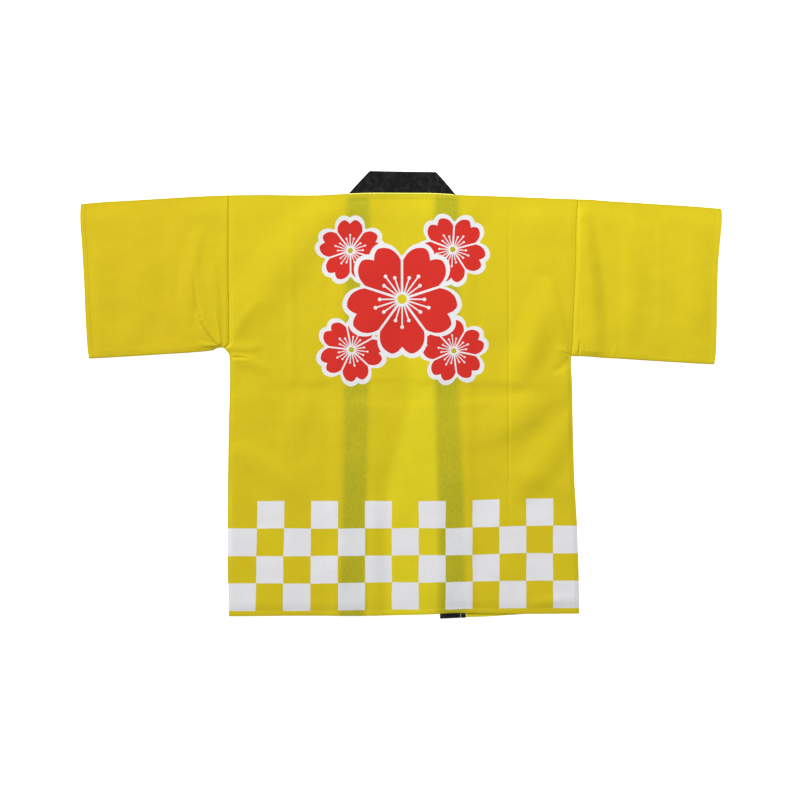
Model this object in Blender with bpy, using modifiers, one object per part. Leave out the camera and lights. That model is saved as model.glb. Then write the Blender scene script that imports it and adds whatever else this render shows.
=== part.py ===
"""A happi coat of thin cotton, laid flat on a table with its back up.

The two fronts lie on the table with a collar run beside each, the doubled collar band turns over
at 45 degrees on each side of the neck, and the back panel lies on them all. Each sleeve is a flat
tube, open at the cuff and at the armhole. The neck points to +Y, and the origin is on the table
under the middle of the coat.
"""
import math
from collections import namedtuple

import bmesh
import bpy
import numpy as np

MM = 0.001

# Walls and the space between two pieces of cloth
CLOTH = 1.2 * MM
COLLAR_CLOTH = 1.9 * MM
SEAM_GAP = 0.3 * MM
PANEL_FLOOR = CLOTH + SEAM_GAP
SLEEVE_EDGE_RADIUS = CLOTH + SEAM_GAP / 2

Edge = namedtuple("Edge", "x y")
Side = namedtuple("Side", "y left right")
Cuff = namedtuple("Cuff", "y x")
Crease = namedtuple("Crease", "x0 y0 x1 y1 bow width height")
Run = namedtuple("Run", "hem_y hem_centre neck_centre fold_y side")

# Outline of the body, in millimetres
BACK_TOP = [
    Edge(-320, 371.1), Edge(-261, 371.8), Edge(-206, 371.2), Edge(-150, 371.2), Edge(-101, 373.6),
    Edge(-60, 375.0), Edge(0, 375.1), Edge(70, 374.1), Edge(106, 371.7), Edge(180, 369.3),
    Edge(256, 366.3), Edge(330, 363.6),
]
BACK_HEM = [
    Edge(-321, -411.0), Edge(-180, -409.8), Edge(-60, -410.0), Edge(0, -408.6), Edge(62, -407.2),
    Edge(100, -405.8), Edge(140, -406.0), Edge(200, -406.4), Edge(332, -405.8),
]
RIGHT_FRONT_HEM = [
    Edge(120, -412.4), Edge(160, -411.2), Edge(196, -408.8), Edge(240, -406.0), Edge(332, -403.6),
]
LEFT_FRONT_HEM = [Edge(-321, -409.4), Edge(-200, -408.0), Edge(-112, -408.0)]
BODY_SIDES = [
    Side(370, -319.8, 329.6), Side(330, -320.2, 326.4), Side(240, -320.4, 324.4),
    Side(120, -319.6, 319.2), Side(96, -320.4, 318.4), Side(86.4, -328.6, 317.8),
    Side(81, -322.6, 317.0), Side(68, -317.8, 316.0), Side(20, -317.8, 317.7),
    Side(-40, -319.4, 318.7), Side(-110, -320.8, 320.4), Side(-160, -321.5, 322.0),
    Side(-192, -321.6, 324.0), Side(-240, -321.8, 326.8), Side(-320, -321.9, 329.6),
    Side(-410, -319.6, 331.2),
]

# Outline of the sleeves, in millimetres
LEFT_SLEEVE_TOP = [
    Edge(-596, 354.4), Edge(-569, 357.2), Edge(-502, 361.4), Edge(-436, 365.4), Edge(-369, 369.2),
    Edge(-320, 371.1),
]
LEFT_SLEEVE_BOTTOM = [
    Edge(-579, 67.6), Edge(-540, 69.6), Edge(-502, 71.8), Edge(-443, 75.5), Edge(-383, 79.4),
    Edge(-357, 82.0), Edge(-346, 84.6), Edge(-337, 87.2), Edge(-330, 87.4), Edge(-319, 87.0),
]
LEFT_CUFF = [
    Cuff(354, -594.2), Cuff(341, -595.5), Cuff(324, -595.5), Cuff(287, -592.9), Cuff(250, -590.7),
    Cuff(213, -588.6), Cuff(175, -587.0), Cuff(138, -585.3), Cuff(101, -583.1), Cuff(83, -581.8),
    Cuff(68, -579.6),
]
RIGHT_SLEEVE_TOP = [
    Edge(329, 363.6), Edge(352, 363.0), Edge(374, 361.0), Edge(419, 358.2), Edge(486, 353.9),
    Edge(552, 349.7), Edge(597, 345.9),
]
RIGHT_SLEEVE_BOTTOM = [
    Edge(317, 72.4), Edge(335, 71.8), Edge(352, 70.9), Edge(374, 69.0), Edge(397, 67.8),
    Edge(441, 65.0), Edge(508, 60.9), Edge(575, 57.3), Edge(584, 57.1),
]
RIGHT_CUFF = [
    Cuff(346, 594.8), Cuff(334, 596.1), Cuff(324, 595.9), Cuff(305, 594.4), Cuff(287, 592.6),
    Cuff(268, 590.8), Cuff(250, 589.3), Cuff(213, 587.6), Cuff(175, 586.7), Cuff(138, 586.4),
    Cuff(101, 585.4), Cuff(83, 584.9), Cuff(68, 583.6), Cuff(58, 581.8),
]

# Collar band, in metres: one run down each front and the stretch behind the neck
COLLAR_WIDTH = 54 * MM
COLLAR_HEM_WIDTH = 46.5 * MM
FOLD_RADIUS = COLLAR_CLOTH / 2 + SEAM_GAP / 2
LEFT_RUN = Run(-408.5 * MM, -91.9 * MM, -83.0 * MM, 389.4 * MM, -1)
RIGHT_RUN = Run(-413.9 * MM, 97.4 * MM, 88.9 * MM, 386.6 * MM, 1)
NECK_DIP = 32 * MM
COLLAR_ACROSS = 3
FOLD_STEPS = 4
NECK_STEPS = 10
RUN_STEPS = 12
FOLD_BULGE = 0.8 * MM
FRONT_CORNER_EASE = 5 * MM

# What the back panel lies on, from side to side: the collar runs with the space between them
Zone = namedtuple("Zone", "low high")
LEFT_RUN_ZONE = Zone(-118 * MM, -53 * MM)
RIGHT_RUN_ZONE = Zone(60 * MM, 123 * MM)
NECK_ZONE = Zone(-118 * MM, 123 * MM)
NECK_BAND_FROM = 355 * MM
ZONE_RAMP = 13 * MM
HOLLOW_RAMP = 19 * MM
TABLE_GAP = 0.4 * MM
BAND_CLEARANCE = 0.3 * MM
SHOULDER_FADE = 16 * MM
SEAM_FADE = 16 * MM
SLEEVE_FADE = 14 * MM

# Largest folds, in millimetres: from one end to the other, bowed sideways in the middle
TOP_CREASES = [
    Crease(-205.2, 360, -205.2, -60, 0, 11, 1.1),
    Crease(199.6, 352, 199.6, -220, 0, 11, 1.0),
    Crease(-312, 94, -140, 330, -6, 36, 3.2),
    Crease(-316, 66, -250, 82, 6, 18, 1.8),
    Crease(-214, 92, -120, 262, 8, 34, 1.6),
    Crease(262, 214, 206, 34, 8, 28, 3.3),
    Crease(274, 214, 322, 74, 10, 28, 3.0),
    Crease(250, 330, 268, 196, -6, 34, 1.9),
    Crease(322, 14, 258, 6, 4, 14, 1.7),
    Crease(322, 6, 132, -70, 14, 36, 1.9),
    Crease(84, 40, -36, -170, 20, 40, 1.8),
    Crease(-322, -70, -190, -196, 16, 40, 2.0),
    Crease(150, -250, 300, -404, 20, 48, 1.6),
    Crease(-40, -250, 30, -402, -16, 46, 1.2),
    Crease(-338, 84, -380, 262, 22, 15, 3.0),
    Crease(-330, 92, -352, 196, 8, 13, 2.4),
    Crease(-392, 310, -390, 140, 4, 24, 1.6),
    Crease(-346, 86, -430, 120, 10, 20, 1.7),
    Crease(-480, 350, -496, 90, 10, 48, 1.1),
    Crease(-560, 330, -548, 110, -8, 40, 0.9),
    Crease(333, 352, 330, 92, 2, 13, 2.6),
    Crease(372, 330, 388, 78, 6, 30, 2.4),
    Crease(330, 80, 402, 128, 8, 17, 2.0),
    Crease(482, 348, 476, 70, 0, 12, 1.2),
    Crease(430, 320, 424, 110, 8, 46, 1.2),
    Crease(548, 330, 540, 80, -6, 44, 1.0),
]
SLOW_WAVE_HEIGHT = 0.35 * MM
SLOW_WAVE_LENGTH = 190 * MM

# Stations of the grids, in millimetres, and the widest step between two of them
BACK_COLUMNS = [-304, -216, -205.2, -194, -131, -118, -53, -34, 41, 60, 123, 136, 189, 199.6, 211, 302]
BACK_ROWS = [-388, 342, 355, 358] + [row.y for row in BODY_SIDES[1:-1]]
BACK_COLUMN_STEP = 22
BACK_ROW_STEP = 26
SLEEVE_RINGS = 19
SLEEVE_RING_CROWDING = 1.45
SLEEVE_EDGE_POINTS = 3
SLEEVE_TOP_Y = 360 * MM
SLEEVE_BOTTOM_Y = 70 * MM
ARMHOLE_ROWS = [96 * MM, 120 * MM, 240 * MM, 330 * MM]
SLEEVE_TOP_STEPS = [1, 3, 9, 7, 3]
SLEEVE_UNDER_STEPS = [1, 1, 1, 1, 1]
FRONT_COLUMNS = 5
FRONT_ROW_STEP = 60
FRONT_TOP_STEP = 8 * MM
HEM_ROW = -409 * MM
SHOULDER_ROW = 371 * MM

# Colours as linear values
YELLOW = (0.70, 0.545, 0.024, 1.0)
SLEEVE_YELLOW = (0.72, 0.56, 0.022, 1.0)
BLACK = (0.017, 0.017, 0.018, 1.0)


def clear_scene():
    for old in list(bpy.data.objects):
        bpy.data.objects.remove(old, do_unlink=True)


def cloth_material(name, colour, roughness):
    material = bpy.data.materials.new(name)
    material.use_nodes = True
    shader = material.node_tree.nodes["Principled BSDF"]
    shader.inputs["Base Color"].default_value = colour
    shader.inputs["Roughness"].default_value = roughness
    shader.inputs["Metallic"].default_value = 0.0
    material.diffuse_color = colour
    return material


def add_piece(name, mesh_data, material, collection):
    """Put a finished bmesh into its own named object."""
    mesh = bpy.data.meshes.new(name)
    mesh_data.to_mesh(mesh)
    mesh_data.free()
    mesh.materials.append(material)
    piece = bpy.data.objects.new(name, mesh)
    collection.objects.link(piece)
    return piece


def give_thickness(piece, thickness, offset, even=True):
    wall = piece.modifiers.new("wall", "SOLIDIFY")
    wall.thickness = thickness
    wall.offset = offset
    wall.use_even_offset = even


def smooth_step(value):
    value = min(1.0, max(0.0, value))
    return value * value * (3.0 - 2.0 * value)


def read_curve(rows, key, column, at):
    """Value of a column at a place given in metres, on a smooth curve through the table's rows."""
    ordered = sorted(rows, key=lambda row: getattr(row, key))
    xs = np.array([getattr(row, key) for row in ordered]) * MM
    ys = np.array([getattr(row, column) for row in ordered]) * MM
    slopes = np.gradient(ys, xs)
    at = min(max(at, xs[0]), xs[-1])
    i = min(int(np.searchsorted(xs, at, side="right")) - 1, len(xs) - 2)
    step = xs[i + 1] - xs[i]
    t = (at - xs[i]) / step
    start = (1 + 2 * t) * (1 - t) ** 2 * ys[i] + t * (1 - t) ** 2 * step * slopes[i]
    end = t * t * (3 - 2 * t) * ys[i + 1] + t * t * (t - 1) * step * slopes[i + 1]
    return float(start + end)


def side_x(side, y):
    """Seam line of a side, straight from row to row so that both pieces follow it alike."""
    rows = BODY_SIDES[::-1]
    lines = [row.left if side < 0 else row.right for row in rows]
    return float(np.interp(y / MM, [row.y for row in rows], lines)) * MM


def crease_height(creases, x, y):
    """Height of the folds at a point: each is a soft ridge that dies away at both ends."""
    height = 0.0
    for crease in creases:
        start = np.array([crease.x0, crease.y0]) * MM
        end = np.array([crease.x1, crease.y1]) * MM
        along = end - start
        length = float(np.hypot(*along))
        sideways = np.array([-along[1], along[0]]) / length
        steps = np.linspace(0.0, 1.0, 33)
        bow = 4.0 * steps * (1.0 - steps) * crease.bow * MM
        path = start + np.outer(steps, along) + np.outer(bow, sideways)
        distances = np.hypot(path[:, 0] - x, path[:, 1] - y)
        nearest = int(np.argmin(distances))
        reach = float(distances[nearest]) / (crease.width * MM)
        if reach < 1.0:
            fade = math.sin(math.pi * float(steps[nearest])) ** 0.6
            height += crease.height * MM * fade * 0.5 * (1.0 + math.cos(math.pi * reach))
    return height


def slow_wave(x, y):
    """The cloth never lies quite level between its folds."""
    turn = 2.0 * math.pi / SLOW_WAVE_LENGTH
    wave = math.sin(turn * (x + 0.4 * y)) * math.cos(turn * 0.7 * (y - 0.3 * x))
    return SLOW_WAVE_HEIGHT * (0.5 + 0.5 * wave)


def stations(low, high, marks, widest):
    """Values from low to high that take in the marks, none further apart than the widest step."""
    inner = sorted(mark * MM for mark in marks if low < mark * MM < high)
    stops = [low] + inner + [high]
    values = []
    for here, following in zip(stops[:-1], stops[1:]):
        parts = max(1, math.ceil((following - here) / (widest * MM) - 1e-6))
        values += [here + (following - here) * k / parts for k in range(parts)]
    return values + [high]


def grid_of(columns, rows):
    """A grid with a count of columns and rows of points, and the column and row of each point."""
    sheet = bmesh.new()
    bmesh.ops.create_grid(sheet, x_segments=columns - 1, y_segments=rows - 1, size=0.5)
    sheet.verts.ensure_lookup_table()
    places = []
    for vertex in sheet.verts:
        column = round((vertex.co.x + 0.5) * (columns - 1))
        row = round((vertex.co.y + 0.5) * (rows - 1))
        places.append((vertex, column, row))
    return sheet, places


def run_share(run, y):
    """0 at the hem end of a collar run and 1 at its fold beside the neck."""
    return min(1.0, max(0.0, (y - run.hem_y) / (run.fold_y - run.hem_y)))


def run_width(share):
    return COLLAR_HEM_WIDTH + (COLLAR_WIDTH - COLLAR_HEM_WIDTH) * share


def run_outer_x(run, y):
    share = run_share(run, y)
    centre = run.hem_centre + (run.neck_centre - run.hem_centre) * share
    return centre + run.side * run_width(share) / 2


def neck_band_level(x):
    """Underside of the band behind the neck: on the runs at both sides, near the table between them."""
    left_edge = LEFT_RUN.neck_centre + COLLAR_WIDTH / 2
    right_edge = RIGHT_RUN.neck_centre - COLLAR_WIDTH / 2
    from_edge = min(x - left_edge, right_edge - x)
    return SEAM_GAP + (2 * FOLD_RADIUS - SEAM_GAP) * (1.0 - smooth_step(from_edge / NECK_DIP))


def collar_lengths():
    """Lengths of the band's middle line: the left run, the neck stretch and the right run."""
    left = LEFT_RUN.fold_y - LEFT_RUN.hem_y
    right = RIGHT_RUN.fold_y - RIGHT_RUN.hem_y
    neck = math.hypot(RIGHT_RUN.neck_centre - LEFT_RUN.neck_centre, RIGHT_RUN.fold_y - LEFT_RUN.fold_y)
    return left, neck, right


def collar_sections():
    """Place along the band's middle line and slant of each section, from the left hem to the right."""
    left, neck, right = collar_lengths()
    turn = math.pi * FOLD_RADIUS * math.sqrt(2.0)
    total = left + neck + right
    sections = [(s, 0.0) for s in np.linspace(0.0, left - COLLAR_WIDTH, RUN_STEPS + 1)]
    sections.append((left - COLLAR_WIDTH / 2, 0.5))
    sections += [(left + turn * (k / FOLD_STEPS - 0.5), 1.0) for k in range(FOLD_STEPS + 1)]
    for k in range(1, NECK_STEPS):
        share = k / NECK_STEPS
        sections.append((left + turn / 2 + share * (neck - turn), 1.0 - 2.0 * share))
    sections += [(left + neck + turn * (k / FOLD_STEPS - 0.5), -1.0) for k in range(FOLD_STEPS + 1)]
    sections.append((left + neck + COLLAR_WIDTH / 2, -0.5))
    sections += [(s, 0.0) for s in np.linspace(left + neck + COLLAR_WIDTH, total, RUN_STEPS + 1)]
    return sections


def fold_lines():
    """Middle point and direction of the two lines that the collar is folded over."""
    left = np.array([LEFT_RUN.neck_centre, LEFT_RUN.fold_y])
    right = np.array([RIGHT_RUN.neck_centre, RIGHT_RUN.fold_y])
    slope = math.atan2(right[1] - left[1], right[0] - left[0])
    rising = (math.pi / 2 + slope) / 2
    falling = (slope - math.pi / 2) / 2
    return (left, rising), (right, falling)


def turn_over(point, fold):
    """Fold a point that lies past the line back over, and say how far round it has gone."""
    anchor, angle = fold
    outward = np.array([-math.sin(angle), math.cos(angle)])
    reach = float(np.dot(point - anchor, outward))
    half_turn = math.pi * FOLD_RADIUS / 2
    on_line = point - reach * outward
    if reach <= -half_turn:
        return point, 0.0
    if reach >= half_turn:
        return on_line - reach * outward, 1.0
    around = (reach + half_turn) / FOLD_RADIUS
    beyond = FOLD_RADIUS * math.sin(around) - half_turn
    return on_line + beyond * outward, (1.0 - math.cos(around)) / 2


def collar_point(s, across):
    """Place in space of a point of the flat band, from its place along and across it."""
    left, neck, right = collar_lengths()
    if s < left + neck / 2:
        share = min(1.0, s / left)
        shift = (LEFT_RUN.hem_centre - LEFT_RUN.neck_centre) * (1.0 - share)
    else:
        share = min(1.0, (left + neck + right - s) / right)
        shift = (RIGHT_RUN.neck_centre - RIGHT_RUN.hem_centre) * (1.0 - share)
    flat = np.array([LEFT_RUN.neck_centre + shift + across * run_width(share), LEFT_RUN.hem_y + s])
    first, second = fold_lines()
    point, turned = turn_over(flat, first)
    level = 2 * FOLD_RADIUS * turned if turned < 1.0 else neck_band_level(point[0])
    point, turned_back = turn_over(point, second)
    return point[0], point[1], COLLAR_CLOTH / 2 + level * (1.0 - turned_back)


def make_collar(collection, material):
    sections = collar_sections()
    band, places = grid_of(COLLAR_ACROSS + 1, len(sections))
    for vertex, column, row in places:
        across = column / COLLAR_ACROSS - 0.5
        s, slant = sections[row]
        vertex.co = collar_point(s + slant * across * COLLAR_WIDTH, across)
    piece = add_piece("collar", band, material, collection)
    give_thickness(piece, COLLAR_CLOTH, 0.0, even=False)


def front_inner_x(run, fold, y):
    """Inner edge of a front: beside the collar run, then beside the fold of the band."""
    anchor, angle = fold
    near_fold = smooth_step((y - front_corner(run)) / FRONT_CORNER_EASE + 1.0)
    beside_run = run_outer_x(run, y) + run.side * (SEAM_GAP + FOLD_BULGE * near_fold)
    beside_fold = anchor[0] + (y - anchor[1]) / math.tan(angle) + run.side * 2 * FOLD_BULGE
    return max(beside_run, beside_fold) if run.side < 0 else min(beside_run, beside_fold)


def front_corner(run):
    """Height where the band's outer edge meets its fold."""
    return run.fold_y - COLLAR_WIDTH / 2


def make_front(name, run, fold, hem, collection, material):
    """A straight panel from the shoulder to the hem, flat on the table beside its collar run."""
    corner = front_corner(run)
    marks = [row.y for row in BODY_SIDES[1:-1]] + [(corner - FRONT_CORNER_EASE) / MM]
    rows = stations(HEM_ROW, corner, marks, FRONT_ROW_STEP) + [corner + FRONT_TOP_STEP]
    panel, places = grid_of(FRONT_COLUMNS, len(rows))
    for vertex, column, row in places:
        share = column / (FRONT_COLUMNS - 1)
        share = share if run.side < 0 else 1.0 - share
        y = rows[row]
        for _ in range(2):
            outer = side_x(run.side, y)
            x = outer + share * (front_inner_x(run, fold, y) - outer)
            if row == 0:
                y = read_curve(hem, "x", "y", x)
            if row == len(rows) - 1:
                y = read_curve(BACK_TOP, "x", "y", x)
        vertex.co = (x, y, 0.0)
    piece = add_piece(name, panel, material, collection)
    give_thickness(piece, CLOTH, 1.0)


def outside(zone, x):
    return max(zone.low - x, x - zone.high, 0.0)


def back_bed(x, y):
    """Height that the back panel lies at over the fronts, the collar and the table between them."""
    hollow = min(x - LEFT_RUN_ZONE.high, RIGHT_RUN_ZONE.low - x)
    bed = PANEL_FLOOR - (PANEL_FLOOR - TABLE_GAP) * smooth_step(hollow / HOLLOW_RAMP)
    from_run = min(outside(LEFT_RUN_ZONE, x), outside(RIGHT_RUN_ZONE, x))
    ramp = HOLLOW_RAMP if hollow > 0 else ZONE_RAMP
    on_run = 1.0 - smooth_step(from_run / ramp)
    bed += (COLLAR_CLOTH + SEAM_GAP - bed) * on_run
    on_band = 1.0 - smooth_step(outside(NECK_ZONE, x) / ZONE_RAMP)
    on_band *= 1.0 - smooth_step((NECK_BAND_FROM - y) / ZONE_RAMP)
    band_top = neck_band_level(x) + COLLAR_CLOTH + SEAM_GAP + BAND_CLEARANCE
    return bed + max(0.0, band_top - bed) * on_band


def back_rise(x, y):
    """Folds of the back, which die away at the shoulder and at the seams."""
    rise = crease_height(TOP_CREASES, x, y) + slow_wave(x, y)
    from_seam = min(x - side_x(-1, y), side_x(1, y) - x)
    rise *= smooth_step((read_curve(BACK_TOP, "x", "y", x) - y) / SHOULDER_FADE)
    return rise * smooth_step(from_seam / SEAM_FADE)


def make_back(collection, material):
    """The back: one length of cloth over the fronts and the collar."""
    columns = stations(side_x(-1, 0.0), side_x(1, 0.0), BACK_COLUMNS, BACK_COLUMN_STEP)
    rows = stations(HEM_ROW, SHOULDER_ROW, BACK_ROWS, BACK_ROW_STEP)
    panel, places = grid_of(len(columns), len(rows))
    for vertex, column, row in places:
        x = columns[column]
        y = rows[row]
        if row == 0:
            y = read_curve(BACK_HEM, "x", "y", x)
        if row == len(rows) - 1:
            y = read_curve(BACK_TOP, "x", "y", x)
        if column == 0:
            x = side_x(-1, y)
        if column == len(columns) - 1:
            x = side_x(1, y)
        vertex.co = (x, y, back_bed(x, y) + back_rise(x, y))
    piece = add_piece("back_panel", panel, material, collection)
    give_thickness(piece, CLOTH, 1.0)


def stepped(low, high, steps):
    """Heights from one edge of a sleeve to the other that take in the rows of the armhole."""
    stops = [low] + ARMHOLE_ROWS + [high]
    heights = [low]
    for here, following, parts in zip(stops[:-1], stops[1:], steps):
        heights += [here + (following - here) * k / parts for k in range(1, parts + 1)]
    return heights


def sleeve_ring(side, share, top, bottom, cuff):
    """One ring round a sleeve, from its share of the way from the armhole to the cuff."""
    def x_at(y):
        armhole = side_x(side, y) + side * SEAM_GAP
        return armhole + share * (read_curve(cuff, "y", "x", y) - armhole)

    radius = SLEEVE_EDGE_RADIUS
    high = read_curve(top, "x", "y", x_at(SLEEVE_TOP_Y)) - radius
    low = read_curve(bottom, "x", "y", x_at(SLEEVE_BOTTOM_Y)) + radius
    ring = [(y, 0.0) for y in stepped(low, high, SLEEVE_UNDER_STEPS)]
    angles = [math.pi * (k / (SLEEVE_EDGE_POINTS + 1) - 0.5) for k in range(1, SLEEVE_EDGE_POINTS + 1)]
    ring += [(high + radius * math.cos(a), radius + radius * math.sin(a)) for a in angles]
    for y in reversed(stepped(low, high, SLEEVE_TOP_STEPS)):
        x = x_at(y)
        rise = crease_height(TOP_CREASES, x, y) + slow_wave(x, y)
        rise *= smooth_step((y - low) / SLEEVE_FADE) * smooth_step((high - y) / SLEEVE_FADE)
        rise *= smooth_step(abs(x - side_x(side, y)) / SEAM_FADE)
        ring.append((y, 2 * radius + rise))
    ring += [(low - radius * math.cos(a), radius - radius * math.sin(a)) for a in angles]
    return [(x_at(y), y, z) for y, z in ring]


def make_sleeve(name, side, top, bottom, cuff, collection, material):
    """A flat tube of cloth, folded along its upper edge and closed along its lower one."""
    shares = [(k / (SLEEVE_RINGS - 1)) ** SLEEVE_RING_CROWDING for k in range(SLEEVE_RINGS)]
    rings = [sleeve_ring(side, share, top, bottom, cuff) for share in shares]
    around = len(rings[0])
    tube, places = grid_of(around + 1, SLEEVE_RINGS)
    for vertex, column, row in places:
        vertex.co = rings[row][column % around]
    bmesh.ops.remove_doubles(tube, verts=tube.verts, dist=0.001 * MM)
    bmesh.ops.recalc_face_normals(tube, faces=tube.faces)
    piece = add_piece(name, tube, material, collection)
    give_thickness(piece, CLOTH, -1.0)


clear_scene()
coat = bpy.data.collections.new("happi_coat")
bpy.context.scene.collection.children.link(coat)

body_cotton = cloth_material("body_cotton", YELLOW, 0.86)
sleeve_cotton = cloth_material("sleeve_cotton", SLEEVE_YELLOW, 0.86)
collar_cotton = cloth_material("collar_cotton", BLACK, 0.82)

left_fold, right_fold = fold_lines()
make_back(coat, body_cotton)
make_front("front_left", LEFT_RUN, left_fold, LEFT_FRONT_HEM, coat, body_cotton)
make_front("front_right", RIGHT_RUN, right_fold, RIGHT_FRONT_HEM, coat, body_cotton)
make_sleeve("sleeve_left", -1, LEFT_SLEEVE_TOP, LEFT_SLEEVE_BOTTOM, LEFT_CUFF, coat, sleeve_cotton)
make_sleeve("sleeve_right", 1, RIGHT_SLEEVE_TOP, RIGHT_SLEEVE_BOTTOM, RIGHT_CUFF, coat, sleeve_cotton)
make_collar(coat, collar_cotton)
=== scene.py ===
import math
from collections import namedtuple

import bpy
import numpy as np
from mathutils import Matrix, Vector


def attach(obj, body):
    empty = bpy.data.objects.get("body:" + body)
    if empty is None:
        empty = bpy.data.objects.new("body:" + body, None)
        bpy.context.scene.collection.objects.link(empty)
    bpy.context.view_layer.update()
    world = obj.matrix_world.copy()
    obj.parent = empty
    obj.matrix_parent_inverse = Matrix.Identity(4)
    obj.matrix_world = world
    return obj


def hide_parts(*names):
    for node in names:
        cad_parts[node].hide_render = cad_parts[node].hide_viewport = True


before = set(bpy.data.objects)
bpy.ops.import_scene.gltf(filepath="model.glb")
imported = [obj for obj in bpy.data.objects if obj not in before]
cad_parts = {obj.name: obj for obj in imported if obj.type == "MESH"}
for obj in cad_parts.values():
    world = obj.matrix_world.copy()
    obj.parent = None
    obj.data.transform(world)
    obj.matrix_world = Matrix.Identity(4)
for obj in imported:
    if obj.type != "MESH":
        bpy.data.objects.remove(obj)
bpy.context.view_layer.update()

# Fronts.
# Two straight panels of thin plain-weave cotton, flat on the table. Each is hemmed at the bottom,
# sewn to the back at the shoulder and the side, and to the collar along its inner edge.
MM = 0.001
CLOTH = 0.5 * MM
EDGE_ROLL = 1.25 * MM
HEM_DEPTH = 9.0 * MM
HEM_LEVEL = -409 * MM
SHOULDER_LEVEL = 371 * MM
END_REACH = 60 * MM
FRONT_WIDTH = 210 * MM
FRONT_STEP = 6.5 * MM
NEAR_FOLD = (0.12, 0.35, 0.7, 1.25, 2.5)
UNDERARM = {-1: 85 * MM, 1: 71 * MM}
SEAM_START = 4 * MM
SEAM_CLOSING = 0.27 * MM
BESIDE_COLLAR = 0.4 * MM
BESIDE_NECK_FOLD = 2.0 * MM
THICKER_BY_COLLAR = 0.9 * MM
BY_COLLAR = 26 * MM

SIDE_LEFT = [(-412, -319.5), (-340, -321.5), (-320, -321.9), (-240, -321.8), (-192, -321.6), (-160, -321.5),
             (-110, -320.8), (-40, -319.4), (20, -317.9), (48, -317.9), (64, -317.9), (70, -318.2),
             (76, -319.6), (81, -322.6), (86.4, -328.4), (91, -323.8), (96, -320.4), (104, -319.6),
             (120, -319.6), (240, -320.4), (330, -320.2), (372, -319.8)]
SIDE_RIGHT = [(-412, 331.2), (-339, 330.1), (-304, 329.1), (-240, 326.8), (-214, 325.2), (-192, 324.0),
              (-177, 323.0), (-160, 322.0), (-110, 320.4), (-40, 318.7), (20, 317.7), (68, 316.0),
              (81, 317.0), (96, 318.4), (120, 319.2), (240, 324.4), (330, 326.4), (372, 329.6)]
SHOULDER = [(-320, 371.1), (-261, 371.8), (-206, 371.2), (-150, 371.2), (-101, 373.6), (-60, 375.0),
            (0, 375.1), (70, 374.1), (106, 371.7), (180, 369.3), (256, 366.3), (330, 363.6)]
FRONT_HEM_LEFT = [(-321, -409.4), (-200, -408.0), (-112, -408.0)]
FRONT_HEM_RIGHT = [(120, -412.4), (160, -411.2), (196, -408.8), (240, -406.0), (332, -403.6)]

COLLAR_WIDTH = 54 * MM
COLLAR_HEM_WIDTH = 48.2 * MM
LEFT_RUN = {"side": -1, "hem": -408.5 * MM, "hem_x": -91.9 * MM, "neck_x": -83.0 * MM, "fold": 389.4 * MM}
RIGHT_RUN = {"side": 1, "hem": -414.3 * MM, "hem_x": 96.5 * MM, "neck_x": 88.9 * MM, "fold": 386.6 * MM}

COTTON_YELLOW = (0.636, 0.508, 0.0118, 1.0)
PRINT_WHITE = (0.757, 0.757, 0.777, 1.0)
CHECK_WIDTH = 49.90 * MM
CHECK_HEIGHT = 50.95 * MM
CHECK_LEFT = -316.4 * MM
CHECK_TOP = -196.9 * MM
CHECK_ROWS = 4
CHECK_DRIFT = 2.4 * MM
CHECK_CLIMB = 5.2 * MM
CHECK_LEAN = 0.018
CHECK_SQUEEZE = 0.65 * MM
THREAD_PITCH = 0.52 * MM
WEAVE_RELIEF = 0.10 * MM


def smooth(value):
    value = np.clip(value, 0.0, 1.0)
    return value * value * (3.0 - 2.0 * value)


def curve(rows, at):
    """Values at the places given, on a smooth curve through the rows, which are in millimetres."""
    where, what = np.array(sorted(rows)).T * MM
    slopes = np.gradient(what, where)
    at = np.clip(at, where[0], where[-1])
    i = np.clip(np.searchsorted(where, at, side="right") - 1, 0, len(where) - 2)
    step = where[i + 1] - where[i]
    t = (at - where[i]) / step
    start = (1 + 2 * t) * (1 - t) ** 2 * what[i] + t * (1 - t) ** 2 * step * slopes[i]
    end = t * t * (3 - 2 * t) * what[i + 1] + t * t * (t - 1) * step * slopes[i + 1]
    return start + end


def places(low, high, step, near_low=(), near_high=()):
    """Even steps from low to high, with lines of their own at the given distances from the ends."""
    first = [low] + [low + distance * MM for distance in near_low]
    last = [high - distance * MM for distance in reversed(near_high)] + [high]
    count = max(1, round((last[0] - first[-1]) / step))
    return np.array(first + list(np.linspace(first[-1], last[0], count + 1)[1:-1]) + last)


def cloth_grid(name, x, y, z):
    """A grid laid out by arrays of places, a row of them for each row of the cloth."""
    rows, columns = x.shape
    bpy.ops.object.select_all(action="DESELECT")
    bpy.ops.mesh.primitive_grid_add(x_subdivisions=columns - 1, y_subdivisions=rows - 1, size=1.0)
    sheet = bpy.context.object
    sheet.name = name
    sheet.data.name = name
    sheet.data.vertices.foreach_set("co", np.stack([x, y, z], axis=-1).astype(np.float32).ravel())
    sheet.data.update()
    return sheet


def pick(piece):
    """Selects one piece and nothing else."""
    bpy.ops.object.select_all(action="DESELECT")
    bpy.context.view_layer.objects.active = piece
    piece.select_set(True)


def give_wall(sheet, offset):
    """Gives the sheet the thickness of the cloth, above it (1) or below it (-1)."""
    wall = sheet.modifiers.new("wall", "SOLIDIFY")
    wall.thickness = CLOTH
    wall.offset = offset
    wall.use_even_offset = True
    pick(sheet)
    bpy.ops.object.modifier_apply(modifier=wall.name)
    bpy.ops.object.shade_smooth()


def wall_faces(sheet):
    """Places of the points on the two faces of a wall, and which of the two is the upper one."""
    spots = np.empty(3 * len(sheet.data.vertices), dtype=np.float32)
    sheet.data.vertices.foreach_get("co", spots)
    faces = spots.reshape(2, -1, 3)
    return faces, int(faces[1, :, 2].mean() > faces[0, :, 2].mean())


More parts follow.
